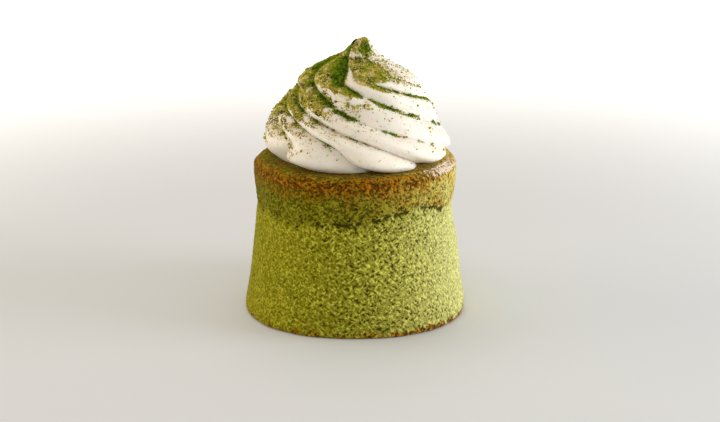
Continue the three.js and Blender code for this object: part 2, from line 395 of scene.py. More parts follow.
@dataclass(frozen=True)
class SpongeFinish:
    """Open green crumb with pale torn edges and painted shade in its pores, browned where the crust took
    colour, with painted light and painted glints on its right side.
    """

    crumb: Colour = (0.190, 0.180, 0.003)
    pale: Colour = (0.48, 0.46, 0.026)
    edge: Colour = (0.72, 0.78, 0.12)
    green: Colour = (0.14, 0.175, 0.004)
    # Painted shade: darkens the crumb's pits, the low spots of its relief and the hollow under the collar's
    # lip.
    pit_shade: Colour = (0.036, 0.034, 0.001)
    moss: Colour = (0.085, 0.082, 0.001)
    fresh: Colour = (0.25, 0.24, 0.006)
    olive: Colour = (0.10, 0.062, 0.001)
    toast: Colour = (0.29, 0.17, 0.004)
    gold: Colour = (0.48, 0.20, 0.004)
    brown: Colour = (0.085, 0.024, 0.001)
    # Painted light: the next two tones make the crumb and the crust on the right side paler and whiter.
    painted_pale_tone: Colour = (0.90, 0.90, 0.42)
    painted_crust_tone: Colour = (0.82, 0.62, 0.13)
    # A painted highlight: glints on the rim at the right.
    painted_glint: Colour = (0.88, 0.74, 0.64)
    fuzz: Colour = (1.0, 0.93, 0.50)

    def crumb_colour(self, s: Shading, height: object, grit: object, patch: object) -> Socket:
        """Colour of the open crumb of the wall.

        Args:
            s: The material being made.
            height: How far the crumb stands out, from 0 to 1.
            grit: Noise of the size of crumbs.
            patch: Noise of the size of a fingertip.

        Returns:
            The colour.
        """
        shaded = s.spread(s.math("MULTIPLY_ADD", grit, 0.5, patch), 0.75, 1.1)
        light = s.spread(height, 0.42, 0.80)
        colour = s.blend(light, s.blend(shaded, self.crumb, self.green), self.pale)
        peaks = s.math("MULTIPLY", s.attribute("pit_shade_and_peaks"), s.spread(height, 0.60, 0.76))
        colour = s.blend(peaks, colour, self.edge)
        # Painted light: the right side is blended towards a paler, whiter tone.
        crumb_side_light = s.math("MULTIPLY", s.attribute("painted_side_light"), s.math("MULTIPLY_ADD", light, 0.5, 0.4))
        return s.blend(crumb_side_light, colour, self.painted_pale_tone)

    def crust_colour(self, s: Shading, height: object, grit: object, patch: object) -> Socket:
        """Colour of the collar and the top, which took colour in the oven.

        Args:
            s: The material being made.
            height: How far the crumb stands out, from 0 to 1.
            grit: Noise of the size of crumbs.
            patch: Noise of the size of a fingertip.

        Returns:
            The colour.
        """
        rough = s.spread(s.uneven(height, grit, 1.1), 0.45, 0.72)
        baked = s.uneven(s.uneven(s.attribute("toasted"), patch, 1.5), grit, 1.2)
        soft, dry = s.blend(rough, self.moss, self.fresh), s.blend(rough, self.olive, self.toast)
        # Painted light: the crust on the right side is blended towards a paler tone.
        crust_side_light = s.math("MULTIPLY", s.attribute("painted_side_light"), s.math("MULTIPLY_ADD", rough, 0.6, 0.35))
        return s.blend(crust_side_light, s.blend(s.spread(baked, 0.2, 0.9), soft, dry), self.painted_crust_tone)

    def material(self) -> bpy.types.Material:
        """Builds the material, which reads the attributes that the sponge's skin carries."""
        s = Shading("sponge_crumb")
        fine, grit, patch = s.noise(0.5), s.noise(1.0), s.noise(6.0)
        weave = s.math("MAXIMUM", s.noise(0.72, 1.0, 1.7, 55.0), s.noise(0.76, 1.0, 2.2, -50.0))
        height = s.uneven(weave, fine, 0.35)
        cover = s.spread(s.uneven(s.attribute("collar"), patch, 1.5), 0.1, 1.1)
        crumb = self.crumb_colour(s, height, grit, patch)
        colour = s.blend(cover, crumb, self.crust_colour(s, height, grit, patch))
        ragged = s.uneven(s.attribute("browning"), s.noise(1.3, length=1.6), 2.2)
        browned = s.blend(s.spread(height, 0.46, 0.75), self.brown, self.gold)
        colour = s.blend(s.spread(ragged, 0.3, 0.9), colour, browned)
        gilded = s.uneven(s.attribute("gold"), fine, 1.6)
        colour = s.blend(s.spread(gilded, 0.35, 1.0), colour, self.gold)
        # Painted shade: the pits, the hollow under the collar's lip and the low spots of the relief are
        # darkened.
        strength = s.math("MULTIPLY_ADD", s.attribute("pit_shade_and_peaks"), 0.75, 0.2)
        dip_shade = s.math("MULTIPLY", s.spread(height, 0.51, 0.41), strength)
        shaded_pits = s.math("ADD", s.attribute("pit_shade"), dip_shade)
        colour = s.blend(s.spread(shaded_pits, 0.1, 1.1), colour, self.pit_shade)
        # Painted highlight: glints on the rim at the right.
        glints = s.spread(s.math("MULTIPLY", s.attribute("painted_glint"), height), 0.39, 0.60)
        colour = s.blend(glints, colour, self.painted_glint)
        s.set(base_color=colour, roughness=0.75, specular_ior_level=0.04)
        s.set(sheen_weight=0.03, sheen_roughness=0.5, sheen_tint=self.fuzz)
        s.relief(height, 0.45)
        return s.material


@dataclass(frozen=True)
class CreamFinish:
    """Smooth whipped cream with soft light inside it, veiled in fine tea powder where that fell, with painted
    shade in patches of the dense powder.
    """

    cream: Colour = (0.93, 0.88, 0.81)
    hazed: Colour = (0.76, 0.64, 0.34)
    tinted: Colour = (0.60, 0.45, 0.12)
    tea: Colour = (0.34, 0.30, 0.014)
    green_tea: Colour = (0.11, 0.21, 0.004)
    # Dense powder darkened with painted shade, in patches and most of all in the creases' drifts.
    shaded_tea: Colour = (0.018, 0.030, 0.001)
    glow: Colour = (1.0, 0.75, 0.5)

    def material(self) -> bpy.types.Material:
        """Builds the material, which reads the dust and drift attributes."""
        s = Shading("whipped_cream")
        fine, speck, patch, drift = s.noise(0.45), s.noise(0.9), s.noise(2.2), s.attribute("drift")
        cover = s.uneven(s.uneven(s.attribute("dust"), fine, 1.0), speck, 2.0)
        veil = s.spread(cover, 0.38, 0.62)
        thick = s.spread(s.uneven(cover, patch, 3.0), 0.45, 0.85)
        green = s.uneven(s.math("MULTIPLY", drift, 0.8), speck, 3.0)
        powder = s.blend(s.spread(green, 0.2, 0.9), self.tea, self.green_tea)
        # Painted shade in patches of the powder, most of all in the creases' drifts.
        shade = s.uneven(s.uneven(s.math("MULTIPLY", drift, 0.5), fine, 3.0), s.noise(3.0, 1.0), 4.0)
        powder = s.blend(s.spread(shade, 0.1, 0.6), powder, self.shaded_tea)
        bare = s.blend(s.math("MULTIPLY", s.attribute("dust"), 0.7), self.cream, self.hazed)
        colour = s.blend(veil, bare, s.blend(thick, self.tinted, powder))
        s.set(base_color=colour, roughness=s.math("MULTIPLY_ADD", veil, 0.45, 0.42), specular_ior_level=0.3)
        s.set(subsurface_weight=0.8, subsurface_radius=self.glow, subsurface_scale=0.0025)
        s.relief(s.math("MULTIPLY", veil, speck), 0.5)
        s.relief(patch, 0.06)
        return s.material


@dataclass(frozen=True)
class TeaFinish:
    """Dry tea powder whose grains run from deep green to olive yellow."""

    deep: Colour = (0.034, 0.054, 0.001)
    bright: Colour = (0.38, 0.42, 0.018)
    fresh: Colour = (0.15, 0.27, 0.006)

    def material(self) -> bpy.types.Material:
        """Builds the material, which reads the tint attribute of each grain and the drift it lies in."""
        s = Shading("tea_powder")
        tint = s.math("MULTIPLY_ADD", s.noise(0.12, 1.0), 0.2, s.attribute("tint"))
        s.set(base_color=s.blend(tint, self.deep, s.blend(s.attribute("drift"), self.bright, self.fresh)))
        s.set(roughness=0.95, specular_ior_level=0.1)
        return s.material


@dataclass(frozen=True)
class FloorFinish:
    """A matt white studio floor."""

    white: Colour = (0.78, 0.83, 0.92)
    far_glow: Colour = (1.0, 0.98, 0.94)

    def material(self) -> bpy.types.Material:
        """Builds the material, which brightens to plain white away from the cake."""
        s = Shading("studio_floor")
        distance = s.tree.nodes.new("ShaderNodeVectorMath")
        distance.operation = "LENGTH"
        s.feed(distance.inputs[0], s.place)
        far = s.spread(distance.outputs["Value"], 0.12, 0.7)
        s.set(base_color=self.white, roughness=0.7, specular_ior_level=0.2)
        s.set(emission_color=self.far_glow, emission_strength=far)
        return s.material


@dataclass(frozen=True)
class Wave:
    """A sine round the cake.

    Attributes:
        size: Its height in millimetres.
        count: How many times it runs round the cake.
        phase: Its phase in radians.
        climb: The height in millimetres over which its phase drifts by 1.
    """

    size: float
    count: int
    phase: float
    climb: float = math.inf

    def at(self, bearing: Array, height: Array | float = 0.0) -> Array:
        """The sine's value at a bearing and a height."""
        return self.size * np.sin(self.count * np.radians(bearing) + self.phase + height / self.climb)


@dataclass(frozen=True)
class Bell:
    """A bell curve round the cake, by its size, the bearing of its middle and its width in degrees."""

    size: float
    bearing: float
    width: float

    def at(self, bearing: Array) -> Array:
        """The bell's value at a bearing."""
        return self.size * bump(0.0, self.width, turned(bearing, self.bearing))


@dataclass
class SpongeCake:
    """The tapered sponge: a rounded foot, a porous wall, a rolled collar and a browned rim.

    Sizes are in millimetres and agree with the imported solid, which this skin replaces.
    """

    node: str = "sponge_cake"
    base_radius: float = 38.0
    neck_radius: float = 33.5
    collar_radius: float = 34.1
    neck_height: float = 38.0
    waist: float = 0.3
    collar_beyond: float = 4.0
    foot_round: float = 1.3
    top_round: float = 2.6
    lip_step: float = 0.3
    lip_crevice: float = 0.15
    lip_below: float = 0.4
    plateau_radius: float = 31.0
    wall_waves: tuple[Wave, ...] = (
        Wave(0.16, 3, 0.8, 17.0),
        Wave(0.12, 7, -1.1, -9.0),
        Wave(0.08, 16, 2.3, 5.0),
    )
    pinch: Bell = Bell(0.9, 90.0, 45.0)
    pinch_height: float = 33.0
    pinch_reach: float = 8.0
    foot_corner: Bell = Bell(1.4, 55.0, 22.0)
    foot_flat: Bell = Bell(1.6, 0.0, 28.0)
    foot_reach: float = 14.0
    lip_raised: Bell = Bell(4.2, 36.0, 20.0)
    lip_waves: tuple[Wave, ...] = (Wave(0.5, 5, 1.2), Wave(0.35, 11, -0.4), Wave(0.2, 23, 0.0))
    rim_sink: float = 0.25
    rim_waves: tuple[Wave, ...] = (Wave(0.2, 4, 0.6), Wave(0.12, 13, 1.9))
    rim_width: float = 2.0
    # The crumb's relief.
    pore_width: float = 1.05
    pore_depth: float = 0.30
    hole_size: Triple = (2.6, 2.6, 1.4)
    hole_depth: float = 0.55
    grain_width: float = 0.9
    grain_depth: float = 0.10
    swell_width: float = 6.0
    swell_depth: float = 0.12
    cell_wall: float = 0.06
    # Where the crust and the crumb look otherwise than elsewhere, and where light and glints are painted on
    # the right side.
    front_side: Bell = Bell(1.0, -5.0, 50.0)
    right_side: Bell = Bell(1.0, 48.0, 45.0)
    # Painted light on the right side.
    painted_light_side: Bell = Bell(1.0, 85.0, 50.0)
    calm_side: Bell = Bell(0.9, 75.0, 38.0)
    smooth_side: Bell = Bell(1.25, -80.0, 75.0)
    # Painted glints on the rim at the right.
    painted_glint_side: Bell = Bell(1.0, 64.0, 34.0)
    # The grid.
    wall_rows: int = 84
    collar_rows: int = 29
    columns: int = 580
    seed: int = 11

    def __post_init__(self) -> None:
        """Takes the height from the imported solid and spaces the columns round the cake."""
        self.height = top_of(self.node)
        self.bearing = np.arange(self.columns) * 360.0 / self.columns

    def wall_wave(self, height: Array) -> Array:
        """Slow unevenness of the baked wall.

        Three sines round the side drift with height, a bell takes in the neck at the right, and bells
        round the foot flatten its front and fill it out to both sides of the front.

        Args:
            height: Rows of heights over the table.

        Returns:
            What to add to the radius at each bearing.
        """
        wave = sum(one.at(self.bearing, height) for one in self.wall_waves)
        pinch = self.pinch.at(self.bearing) * bump(self.pinch_height, self.pinch_reach, height)
        front = turned(self.bearing, 0.0)
        foot = self.foot_corner.at(np.abs(front)) - self.foot_flat.at(front)
        return wave - pinch + foot * (1.0 - ramp(0.0, self.foot_reach, height))

    def lip_height(self) -> Array:
        """Height of the collar's lower edge: a level line, a bell to the front right and three sines."""
        ragged = sum(one.at(self.bearing) for one in self.lip_waves)
        return self.neck_height - self.lip_below + self.lip_raised.at(self.bearing) + ragged

    def wall_radius(self, height: Array) -> Array:
        """Straight taper from foot to neck, less a half sine for the waist."""
        share = height / self.neck_height
        return mix(self.base_radius, self.neck_radius, share) - self.waist * np.sin(math.pi * share)

    def collar_line(self, height: Array) -> Array:
        """Neck radius swelling to the collar radius as a half sine that would end a little above the top."""
        collar = self.height + self.collar_beyond - self.neck_height
        share = np.clip((height - self.neck_height) / collar, 0.0, 1.0)
        return mix(self.neck_radius, self.collar_radius, np.sin(math.pi * share))

    def side(self) -> tuple[Array, Array]:
        """Radius and height of the side's rows: the wall up to the lip, a short overhang, then the collar."""
        lip = self.lip_height()
        share = np.linspace(0.0, 1.0, self.wall_rows)[:, None]
        wall_height = mix(self.foot_round, lip - 0.4, share)
        wall = self.wall_radius(wall_height) - self.lip_crevice * ramp(0.88, 1.0, share)
        share = np.concatenate([[0.0, 0.02, 0.05], np.linspace(0.08, 1.0, self.collar_rows)])[:, None]
        collar_height = mix(lip - 0.1, self.height - self.top_round, share)
        step = self.lip_step * mix(1.0, 0.2, bump(0.0, 60.0, turned(self.bearing, -90.0)))
        overhang = step * (1.0 - share) * ramp(0.0, 0.08, share + 0.02)
        crevice = self.lip_crevice * (1.0 - ramp(0.0, 0.05, share))
        collar = self.collar_line(collar_height) + overhang - crevice
        height = np.concatenate([wall_height, collar_height])
        return np.concatenate([wall, collar]) + self.wall_wave(height), height

    def outline(self) -> tuple[Array, Array]:
        """Radius and height of all rows from the underside over the foot, side and rim to the top."""
        radius, height = self.side()
        foot, rim, table = radius[0], radius[-1], np.zeros(self.columns)
        rows = [(foot * share, table) for share in (0.3, 0.6, 0.85)]
        for angle in np.radians([0.0, 25.0, 50.0, 72.0]):
            inward, up = self.foot_round * (1 - math.sin(angle)), self.foot_round * (1 - math.cos(angle))
            rows.append((foot - inward, table + up))
        rows += list(zip(radius, height))
        rim_wave = sum(one.at(self.bearing) for one in self.rim_waves) - self.rim_sink
        for angle in np.radians(np.linspace(8.0, 82.0, 10)):
            rise = self.height - self.top_round * (1 - math.sin(angle)) + rim_wave * ramp(0.0, 0.4, angle)
            rows.append((rim - self.top_round * (1 - math.cos(angle)), rise))
        edge, edge_height = rows[-1]
        for share in np.linspace(0.1, 1.0, 9):
            level = mix(edge_height, self.height, ramp(0.0, 1.0, share))
            rows.append((mix(edge, self.plateau_radius, share), level))
        shares = np.array([0.5, 0.25])
        inner = [*(self.plateau_radius - np.linspace(0.5, 9.5, 19)), *(self.plateau_radius * shares)]
        rows += [(np.full(self.columns, radius), np.full(self.columns, self.height)) for radius in inner]
        return np.stack([row[0] for row in rows]), np.stack([row[1] for row in rows])

    def relief(self, points: Array) -> tuple[Array, Array]:
        """Relief of the open crumb.

        The depth adds small cells, whose middles sink, a few larger holes that crowd round the collar's
        lower edge, thin raised walls between the cells and two sizes of noise.

        Args:
            points: Places with a last axis of 3.

        Returns:
            The depth below the solid's surface in millimetres, and from 0 to 1 how far a point is in a pore.
        """
        near, second, label = cell_noise(points / self.pore_width, self.seed)
        small = (1.0 - ramp(0.08, 0.42, near)) * (label > 0.8)
        wide, _, chance = cell_noise(points / np.array(self.hole_size), self.seed + 20)
        crowd = bump(self.neck_height + 1.0, 6.0, points[..., 2])
        large = (1.0 - ramp(0.10, mix(0.26, 0.38, crowd), wide)) * (chance > mix(0.78, 0.25, crowd))
        grain = 1.0 + rough_noise(points / self.grain_width, self.seed + 40)
        swell = 1.0 + rough_noise(points / self.swell_width, self.seed + 50, 2)
        walls = ramp(0.0, 0.25, second - near)
        depth = self.pore_depth * small + self.hole_depth * large + self.cell_wall * walls
        depth = depth + self.grain_depth * grain + self.swell_depth * swell
        return depth, np.clip(0.75 * small + large, 0.0, 1.0)

    def marks(self, points: Array, radius: Array, height: Array) -> dict[str, Array]:
        """What the finish needs to know at each point.

        Args:
            points: The points, rows x columns x 3.
            radius: Their distance to the axis before the crumb's relief.
            height: Their height before it.

        Returns:
            Attributes by name, mostly from 0 to 1: painted shade in the holes under the collar, the
            browning of the rim, the collar's lower edge and the foot, the collar itself, how toasted it is,
            the gold line of the top edge, painted glints on it at the right, painted light that makes the
            right side paler, and how strongly the crumb's pits are painted dark and its peaks pale.
        """
        over_lip, under_top = height - self.lip_height(), self.height - height
        inner = self.plateau_radius
        outside, crown = ramp(inner, inner + self.rim_width, radius), 1.0 - ramp(0.0, 1.0, under_top)
        bearing = self.bearing
        front, right = self.front_side.at(bearing), self.right_side.at(bearing)
        # The first is where light is painted on the right side, the second where glints are painted on the
        # rim.
        lit, glint_share = self.painted_light_side.at(bearing), self.painted_glint_side.at(bearing)
        calm, smooth = self.calm_side.at(bearing), self.smooth_side.at(bearing)
        rim = bump(2.0 + 0.8 * front, 1.2 + 1.4 * front, under_top) * outside
        lip_brown = 0.55 * bump(0.8, 0.9, over_lip) * right
        foot_brown = (0.5 + 0.4 * right) * (1.0 - ramp(0.8, 3.6, height))
        # Painted light: the rim's browning fades where the right side is lit.
        browning = 0.85 * rim * (1.0 - 0.9 * lit) + lip_brown + foot_brown + 0.22 * crown
        toasted = ramp(3.0, 12.0, over_lip) + 0.45 * right * ramp(-1.0, 2.0, over_lip)
        # Painted shade: broken holes under the collar's lip.
        lip_shade_breaks = ramp(0.05, 0.5, rough_noise(points / 2.0, self.seed + 60, 2))
        return {
            "pit_shade": bump(-0.3, 1.1, over_lip) * lip_shade_breaks,
            "browning": np.clip(browning + 0.3 * right * ramp(0.0, 4.0, over_lip), 0.0, 1.0),
            # Painted light: less of the collar's crust where the right side is lit.
            "collar": np.clip(ramp(-5.0, 2.5, over_lip) * (1.0 - 0.3 * lit), 0.0, 1.0),
            "toasted": np.clip(toasted, 0.0, 1.0) - 0.35 * crown,
            "gold": bump(0.2, 0.7, under_top) * outside * (0.75 + 0.25 * right),
            # Painted glints on the rim at the right.
            "painted_glint": glint_share * bump(0.9, 2.8, under_top) * ramp(inner - 1.5, inner, radius),
            # Painted light that makes the right side paler.
            "painted_side_light": np.broadcast_to(lit, height.shape),
            # How strongly the crumb's pits are painted dark and its peaks pale, less at the left and the
            # right.
            "pit_shade_and_peaks": np.broadcast_to(np.clip(1.25 - smooth - calm, 0.0, 1.0), height.shape),
        }

    def make(self) -> bpy.types.Object:
        """Builds, dresses and places the sponge."""
        radius, height = self.outline()
        skin = Skin(on_bearing(radius, self.bearing, height), np.zeros(3), np.array([0.0, 0.0, self.height]))
        depth, pit_shade = self.relief(skin.rings)
        smooth_top = mix(1.0, 0.45, ramp(self.height - 1.2, self.height - 0.2, height))
        skin.rings -= skin.normals() * (depth * ramp(0.2, 1.2, height) * smooth_top)[..., None]
        marks = self.marks(skin.rings, radius, height)
        # Painted shade in the relief's pits joins that under the collar's lip.
        marks["pit_shade"] = np.clip(marks["pit_shade"] + pit_shade, 0.0, 1.0)
        thing = skin.build("sponge", marks)
        thing.data.materials.append(SpongeFinish().material())
        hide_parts(self.node)
        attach(thing, "root")
        return thing


@dataclass(frozen=True)
class Ridge:
    """One ridge of the swirl, by the crease over it.

    Attributes:
        bearings: The crease's bearing from the leading crease, near the peak, half-way and at the foot.
        depths: Its share of the full crease depth at the same three levels.
        powder: How much tea powder lies in it, near the peak and lower down, with 1 for plenty.
        clean: How free of powder the ridge's lower side stays high on the swirl.
        hook: By how many degrees the crease turns back over the last stretch up to the tip.
        inset: How far the crest under it stays inside the swirl's outline.
        ends: The rise over which the crease has closed and the ridges beside it are one.
    """

    bearings: Triple
    depths: Triple
    powder: Pair
    clean: float = 0.0
    hook: float = 0.0
    inset: float = 0.0
    ends: float = 99.0


@dataclass(frozen=True)
class Swirl:
    """The swirl's points, rows x columns, each with its rise, its bearing and what its place on a ridge says.

    Attributes:
        rings: Points in millimetres.
        rise: Heights above the sponge.
        bearing: Bearings in degrees.
        crease: How much powder the crease holds there, from 0 to 1.
        clean: How free of powder the cream stays there, from 0 to 1.
    """

    rings: Array
    rise: Array
    bearing: Array
    crease: Array
    clean: Array


@dataclass
class WhippedCream:
    """The piped swirl: eight unequal ridges that wind down from an off-centre peak to round lobes.

    Sizes are in millimetres and bearings in degrees. Rises are heights above the sponge's flat top, and
    levels are two rises between which a form changes. A ridge's shape is given high on the swirl, then at
    its foot. The width of the powder's drifts and its reach are given low on the swirl, then high. The
    crest outline holds pairs of radius and rise.
    """

    node: str = "whipped_cream"
    under: str = "sponge_cake"
    offset: Pair = (0.8, -0.3)
    tip_lean: float = 2.0
    tip_lean_from: float = 30.7
    tip_lean_over: float = 8.0
    belly_lean: float = 1.0
    belly_rise: float = 13.0
    belly_reach: float = 7.0
    foot_lean: float = 1.0
    foot_reach: float = 7.0
    lead_bearing: float = 100.0
    winding: float = 6.05
    shelf_bearing: float = -110.0
    shelf_width: float = 60.0
    shelf_rise: float = 20.5
    shelf_reach: float = 3.0
    shelf_slope: float = 0.03
    shelf_out: float = 0.3
    # The ridges and the creases between them.
    foot_levels: Pair = (0.5, 10.0)
    peak_levels: Pair = (14.0, 28.0)
    hook_levels: Pair = (26.0, 32.0)
    closed_depth: float = -0.25
    closing: float = 1.5
    lobe_levels: Pair = (2.0, 18.0)
    crowding: Pair = (1.3, 1.0)
    crest_share: Pair = (0.27, 0.62)
    ledge_steepness: Pair = (1.6, 2.3)
    face_steepness: Pair = (1.4, 2.3)
    least_depth: float = 0.5
    depth_growth: float = 0.115
    depth_limit: float = 0.4
    calm: Bell = Bell(0.7, 90.0, 50.0)
    calm_levels: Pair = (4.0, 10.0)
    groove_depth: float = 0.1
    wobble: float = 0.22
    bottom_shrink: float = 0.55
    # The tea powder and the side that it fell from.
    powder_levels: Pair = (22.0, 27.0)
    drift_levels: Pair = (25.0, 30.0)
    drift_widths: Pair = (0.085, 0.14)
    hooked_drift: float = 0.30
    lower_drift: float = 0.06
    clean_levels: Pair = (21.0, 26.0)
    clean_place: float = 0.60
    clean_width: float = 0.25
    fall: Triple = (-0.55, 0.25, 0.80)
    fall_bearing: float = -85.0
    fall_levels: Pair = (16.0, 27.0)
    fall_reach: Pair = (-4.0, 66.0)
    fall_fade: Pair = (45.0, 90.0)
    lee_share: float = 0.12
    drift_edge: float = 17.0
    drift_wave: Wave = Wave(2.8, 1, 0.0)
    patch_width: float = 3.0
    crumb_width: float = 1.6
    pinch: Bell = Bell(1.0, 25.0, 30.0)
    pinch_rise: float = 36.0
    pinch_reach: float = 1.6
    # The grid.
    columns_per_ridge: int = 44
    rows: int = 226
    seed: int = 71
    crest_outline: tuple[Pair, ...] = (
        *((27.2, 0.0), (30.4, 2.4), (31.0, 5.4), (29.4, 10.4)),
        *((26.1, 16.4), (22.0, 22.0), (19.2, 26.8), (12.7, 30.6)),
        *((7.6, 33.2), (4.6, 35.8), (2.5, 38.3), (0.0, 39.5)),
    )
    ridges: tuple[Ridge, ...] = (
        Ridge((115.0, 148.0, 122.0), (0.7, 0.9, 1.0), (0.1, 0.3), inset=0.2),
        Ridge((78.0, 112.0, 83.0), (0.9, 1.0, 0.8), (0.3, 1.1), clean=1.0, ends=27.0),
        Ridge((44.0, 48.0, 42.0), (1.2, 0.6, 0.6), (1.5, 0.95), hook=30.0),
        Ridge((0.0, 0.0, 0.0), (1.2, 0.65, 0.5), (1.1, 1.1)),
        Ridge((-62.0, -34.0, -46.0), (0.7, 0.9, 1.4), (0.8, 0.65)),
        Ridge((-92.0, -62.0, -91.0), (0.7, 1.0, 1.2), (0.5, 0.9)),
        Ridge((-133.0, -94.0, -150.0), (0.9, 0.8, 1.0), (0.3, 0.6)),
        Ridge((-190.0, -145.0, -202.0), (1.0, 1.0, 1.1), (0.1, 0.2), inset=0.3),
    )

    def __post_init__(self) -> None:
        """Takes the seat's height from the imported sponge."""
        self.seat = top_of(self.under)

    def axis(self, rise: Array) -> Array:
        """Sideways place of the swirl's axis, which leans to the right at the foot and towards the tip."""
        lean = self.tip_lean * np.maximum(0.0, (rise - self.tip_lean_from) / self.tip_lean_over) ** 1.5
        lean = lean - self.belly_lean * bump(self.belly_rise, self.belly_reach, rise)
        lean = lean + self.foot_lean * (1.0 - ramp(0.0, self.foot_reach, rise))
        return np.stack([self.offset[0] + lean, self.offset[1] + 0 * lean, 0 * lean], axis=-1)

    def leading(self, rise: Array) -> Array:
        """Bearing of the leading crease: it winds back evenly as it climbs."""
        return self.lead_bearing - self.winding * rise

    def shelf(self, rise: Array, bearing: Array) -> Array:
        """How far the shelf under the upper turn stands out below its line and in above it."""
        away = turned(bearing, self.shelf_bearing)
        t = (rise - self.shelf_rise + self.shelf_slope * away) / self.shelf_reach
        wave = np.where(t < 0.0, self.shelf_out, 1.0) * t * np.exp(0.5 - t * t / 2.0)
        return -wave * bump(0.0, self.shelf_width, away)

    def at_level(self, levels: Array, rise: Array) -> Array:
        """Blends values given near the peak, half-way and at the foot, for each rise."""
        foot = 1.0 - ramp(*self.foot_levels, rise)
        peak = ramp(*self.peak_levels, rise)
        return levels[0] * peak + levels[1] * (1.0 - foot - peak) + levels[2] * foot

    def crease_bearing(self, ridge: Ridge, rise: Array) -> Array:
        """A crease's bearing from the leading crease, with its hook towards the tip."""
        return self.at_level(ridge.bearings, rise) + ridge.hook * ramp(*self.hook_levels, rise)

    def crease_depth(self, ridge: Ridge, rise: Array) -> Array:
        """A crease's share of the full depth; where it has closed a low crest stands in its place."""
        closed = ramp(ridge.ends - self.closing, ridge.ends + self.closing, rise)
        return mix(self.at_level(ridge.depths, rise), self.closed_depth, closed)

    def surface(self) -> Swirl:
        """The swirl as rings.

        A ring runs from crease to crease. Across a ridge the share goes from 0 in the crease over it to
        1 in the crease under it. Its profile rises to 1 at the crest as 1 - (1 - share / crest)^steepness
        and falls the same way to the lower crease, so that high on the swirl a narrow ledge tops a long
        plain face, and at the foot the ridge is a round lobe. The radius is the crest outline less the
        crease depth times one minus the profile, less the ridge's inset at its crest, and less fine
        grooves of smooth noise that run along the ridges. The creases are shallower at the right.

        Returns:
            The points with what the powder needs to know of them.
        """
        outline = spline(list(self.crest_outline), self.rows + 1)[:-1]
        radius, rise = outline[:, :1], outline[:, 1:]
        lobed = 1.0 - ramp(*self.lobe_levels, rise)
        share = (np.arange(self.columns_per_ridge) / self.columns_per_ridge) ** mix(*self.crowding, lobed)
        crest = mix(*self.crest_share, lobed)
        ledge = 1.0 - np.clip(1.0 - share / crest, 0.0, 1.0) ** mix(*self.ledge_steepness, lobed)
        face = 1.0 - np.clip((share - crest) / (1.0 - crest), 0.0, 1.0) ** mix(*self.face_steepness, lobed)
        profile = np.where(share < crest, ledge, face)
        full_depth = np.minimum(self.least_depth + self.depth_growth * radius, self.depth_limit * radius)
        bearings, insets, creases, cleans = [], [], [], []
        for index, ridge in enumerate(self.ridges):
            below = self.ridges[(index + 1) % len(self.ridges)]
            wrap = 360.0 if index + 1 == len(self.ridges) else 0.0
            upper, lower = self.crease_bearing(ridge, rise), self.crease_bearing(below, rise) - wrap
            bearing = self.leading(rise) + mix(upper, lower, share)
            depths = [self.crease_depth(one, rise) for one in (ridge, below)]
            powder = [
                mix(one.powder[1], one.powder[0], ramp(*self.powder_levels, rise)) * ramp(0.0, 0.4, size)
                for one, size in zip((ridge, below), depths)
            ]
            narrow, wide = self.drift_widths
            wide = self.hooked_drift if ridge.hook else wide
            width = mix(narrow, wide, ramp(*self.drift_levels, rise))
            above = powder[0] * bump(0.0, width, share)
            creases.append(np.maximum(above, powder[1] * bump(1.0, self.lower_drift, share)))
            clean = bump(self.clean_place, self.clean_width, share) * ramp(*self.clean_levels, rise)
            cleans.append(ridge.clean * clean)
            along = np.broadcast_arrays(10.0 * share, rise / 14.0, 5.0 * index)
            groove = self.groove_depth * smooth_noise(np.stack(along, axis=-1), 3)
            depth = mix(*depths, share) * (1.0 - self.calm.at(bearing) * ramp(*self.calm_levels, rise))
            inset = full_depth * depth * (1.0 - profile) + ridge.inset * profile * ramp(0.0, 10.0, radius)
            insets.append(inset + groove * ramp(0.0, 10.0, radius))
            bearings.append(bearing)
        round_all = [np.concatenate(parts, axis=1)[:, ::-1] for parts in (bearings, insets, creases, cleans)]
        bearing, inset, crease, clean = round_all
        height = np.broadcast_to(self.seat + rise, bearing.shape)
        rings = on_bearing(radius - inset + self.shelf(rise, bearing), bearing, height) + self.axis(rise)
        return Swirl(rings, height - self.seat, bearing, np.clip(crease, 0.0, 1.0), clean)

    def dusting(self, skin: Skin, swirl: Swirl) -> tuple[Array, Array]:
        """How thickly tea powder covers the cream.

        The powder fell from the back left. It lies on what faces up, thins out to the front right and
        towards the foot, and gathers in the creases down to an edge that climbs as a sine to the right,
        with loose crumbs of it in the creases below that edge and a pinch of it right of the tip.

        Args:
            skin: The swirl's surface.
            swirl: Its points before the wobble.

        Returns:
            The cover of fine powder and of thick drifts, each from 0 to 1.
        """
        rise, bearing = swirl.rise, swirl.bearing
        reach = mix(*self.fall_reach, ramp(*self.fall_levels, rise))
        away = np.abs(turned(bearing, self.fall_bearing)) - reach
        side = mix(1.0, self.lee_share, ramp(*self.fall_fade, away))
        patches = rough_noise(skin.rings / self.patch_width, self.seed + 5, 2)
        high = mix(0.4, 1.0, ramp(6.0, 20.0, rise))
        edge = self.drift_edge + self.drift_wave.at(bearing)
        crumbs = ramp(-0.05, 0.4, smooth_noise(skin.rings / self.crumb_width, self.seed + 6))
        thick = mix(0.7 * crumbs * ramp(3.0, 12.0, rise), 1.0, ramp(-2.0, 1.0, rise - edge))
        spot = self.pinch.at(bearing) * bump(self.pinch_rise, self.pinch_reach, rise)
        drift = np.clip(swirl.crease * (1.0 - swirl.clean) * thick * (1.0 + patches) + spot, 0.0, 1.0)
        slope = skin.normals() @ np.array(self.fall) + 0.5 * patches + 0.35 * ramp(17.0, 26.0, rise)
        veil = 0.85 * ramp(0.1, 0.75, slope) * side * high * (1.0 - swirl.clean)
        return np.clip(veil + 0.5 * drift, 0.0, 0.84), drift

